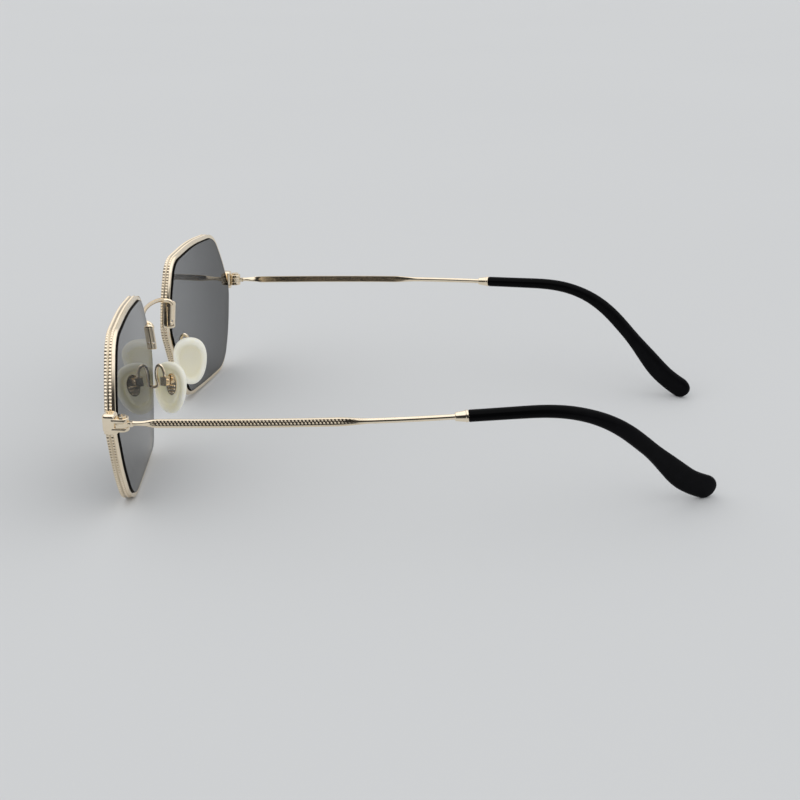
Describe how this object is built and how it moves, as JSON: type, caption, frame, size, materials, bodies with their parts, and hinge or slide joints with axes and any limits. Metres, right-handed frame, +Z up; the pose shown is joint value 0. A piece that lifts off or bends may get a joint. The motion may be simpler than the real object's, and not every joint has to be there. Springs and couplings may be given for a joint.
{
  "type": "hexagonal sunglasses",
  "caption": "Hexagonal wire-framed sunglasses with smoke lenses, milled rims and temples, adjustable nose pads and black temple tips that fold flat.",
  "frame": {"origin": "middle of the open glasses, on the surface that the rims and the temple tips stand on", "axes": "+X towards the wearer's left, the lenses face -Y, the temples run back along +Y, +Z up"},
  "size_m": [0.1314, 0.151, 0.0443],
  "materials": {
    "gold_metal": "polished",
    "smoke_lens": "polished",
    "milky_pad": "satin",
    "black_acetate": "polished"
  },
  "bodies": {
    "front": {"rim_left": "gold_metal", "rim_right": "gold_metal", "lens_left": "smoke_lens", "lens_right": "smoke_lens", "bridge": "gold_metal", "end_piece_left": "gold_metal", "end_piece_right": "gold_metal", "rim_lock_left": "gold_metal", "rim_lock_right": "gold_metal", "lock_screw_left": "gold_metal", "lock_screw_right": "gold_metal", "hinge_screw_left": "gold_metal", "hinge_screw_right": "gold_metal", "pad_arm_left": "gold_metal", "pad_arm_right": "gold_metal", "pad_screw_left": "gold_metal", "pad_screw_right": "gold_metal"},
    "temple_left": {"knuckle_left": "gold_metal", "temple_left": "gold_metal", "ferrule_left": "gold_metal", "tip_left": "black_acetate"},
    "temple_right": {"knuckle_right": "gold_metal", "temple_right": "gold_metal", "ferrule_right": "gold_metal", "tip_right": "black_acetate"},
    "pad_left": {"pad_core_left": "gold_metal", "nose_pad_left": "milky_pad"},
    "pad_right": {"pad_core_right": "gold_metal", "nose_pad_right": "milky_pad"}
  },
  "joints": [
    {"name": "temple_left_fold", "type": "hinge", "parent": "front", "child": "temple_left", "pos_m": [0.06396, -0.06419, 0.02527], "axis": [0.0698, 0, 0.9976], "range_deg": [0, 80]},
    {"name": "temple_right_fold", "type": "hinge", "parent": "front", "child": "temple_right", "pos_m": [-0.06396, -0.06419, 0.02527], "axis": [0.0698, 0, -0.9976], "range_deg": [0, 75]},
    {"name": "pad_left_rock", "type": "hinge", "parent": "front", "child": "pad_left", "pos_m": [0.01389, -0.06723, 0.0184], "axis": [0.2419, 0.9703, 0], "range_deg": [-8, 8]},
    {"name": "pad_right_rock", "type": "hinge", "parent": "front", "child": "pad_right", "pos_m": [-0.01389, -0.06723, 0.0184], "axis": [-0.2419, 0.9703, 0], "range_deg": [-8, 8]}
  ]
}
